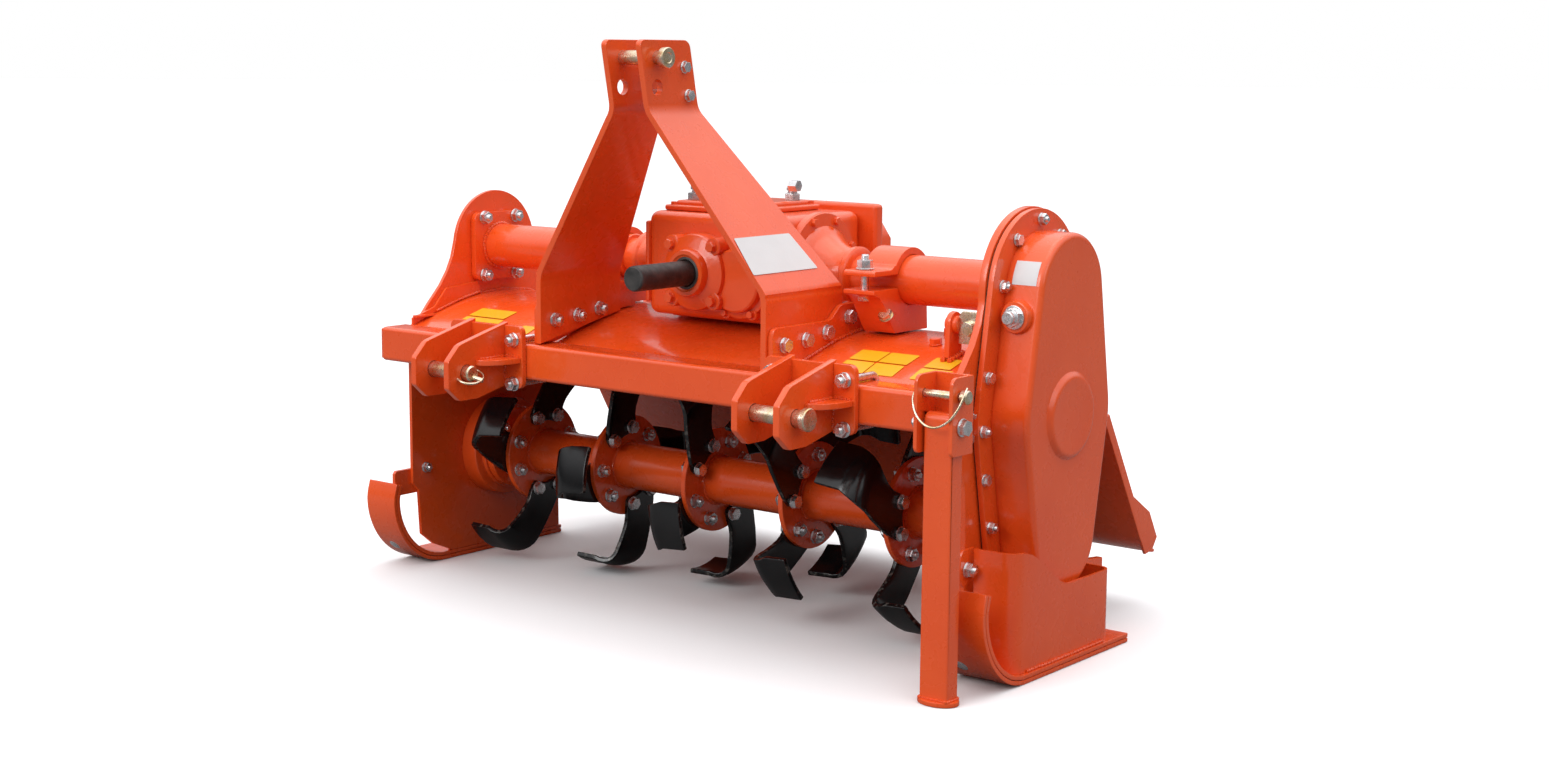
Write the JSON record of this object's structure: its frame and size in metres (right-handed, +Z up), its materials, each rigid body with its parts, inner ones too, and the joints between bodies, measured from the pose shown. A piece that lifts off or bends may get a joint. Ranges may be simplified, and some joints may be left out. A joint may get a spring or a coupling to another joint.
{
  "type": "three-point rotary tiller",
  "caption": "Tractor-mounted rotary tiller with a bent-plate mast, central gearbox, bladed rotor under a deck, side gear case, trailing board, runners and a parking leg.",
  "frame": {"origin": "centre of the footprint box, at ground level", "axes": "+Z up, -Y towards the tractor, +X to the side of the gear case (the machine's left when looking forward)"},
  "size_m": [1.105, 0.6992, 0.789],
  "materials": {
    "orange_enamel": "glossy orange-red enamel over steel plate and castings",
    "black_enamel": "glossy black enamel, rubbed pale along the cutting edges",
    "zinc_plated": "bright zinc plating, slightly dulled",
    "yellow_passivated": "yellow-passivated zinc with a faint iridescence",
    "dark_steel": "oiled dark steel",
    "gasket": "dull brown fibre gasket"
  },
  "bodies": {
    "frame": {"bearing_housing": "orange_enamel", "breather_plug": "zinc_plated", "deck_hinge_left": "orange_enamel", "deck_hinge_right": "orange_enamel", "deck_sheet": "orange_enamel", "filler_plug": "zinc_plated", "front_beam": "orange_enamel", "gear_case_cover": "orange_enamel", "gear_case_gasket": "gasket", "gear_guard": "orange_enamel", "gearbox_body": "orange_enamel", "gearbox_front_cover": "orange_enamel", "gearbox_lid": "orange_enamel", "gearbox_rear_cover": "orange_enamel", "gearbox_side_cover_left": "orange_enamel", "gearbox_side_cover_right": "orange_enamel", "link_bracket_left": "orange_enamel", "link_bracket_right": "orange_enamel", "link_pin_left": "yellow_passivated", "link_pin_right": "yellow_passivated", "mast_bar_left": "orange_enamel", "mast_bar_right": "orange_enamel", "mast_bracket_left": "orange_enamel", "mast_bracket_right": "orange_enamel", "quadrant_arm_left": "orange_enamel", "quadrant_arm_right": "orange_enamel", "side_plate_left": "orange_enamel", "side_plate_right": "orange_enamel", "skid_left": "orange_enamel", "skid_right": "orange_enamel", "stand_bracket": "orange_enamel", "stand_lock_pin": "yellow_passivated", "stand_pivot_bolt": "zinc_plated", "top_link_pin": "yellow_passivated", "top_tube_left": "orange_enamel", "top_tube_right": "orange_enamel", "tube_clamp_left": "orange_enamel", "tube_clamp_right": "orange_enamel", "wear_shoe_left": "orange_enamel", "wear_shoe_right": "orange_enamel"},
    "rotor": {"rotor_tube": "orange_enamel", "blade_disc_1": "black_enamel", "blade_disc_2": "black_enamel", "blade_disc_3": "black_enamel", "blade_disc_4": "black_enamel", "blade_disc_5": "black_enamel"},
    "pto": {"pto_shaft": "dark_steel"},
    "board": {"trailing_board": "orange_enamel", "board_quadrant_left": "orange_enamel", "board_quadrant_right": "orange_enamel"},
    "stand": {"parking_leg": "orange_enamel"}
  },
  "joints": [
    {"name": "rotor_spin", "type": "hinge", "parent": "frame", "child": "rotor", "pos_m": [0.0155, -0.0056, 0.166], "axis": [1, 0, 0], "continuous": true},
    {"name": "input_shaft_spin", "type": "hinge", "parent": "frame", "child": "pto", "pos_m": [0.0155, -0.1476, 0.478], "axis": [0, 1, 0], "continuous": true},
    {"name": "trailing_board_hinge", "type": "hinge", "parent": "frame", "child": "board", "pos_m": [0.0155, 0.1804, 0.3], "axis": [1, 0, 0], "range_deg": [-20, 45]},
    {"name": "parking_leg_pivot", "type": "hinge", "parent": "frame", "child": "stand", "pos_m": [0.5125, -0.2586, 0.34], "axis": [-1, 0, 0], "range_deg": [0, 120]}
  ],
  "couplings": [
    {"joint": "input_shaft_spin", "follows": "rotor_spin", "ratio": -2.57}
  ]
}
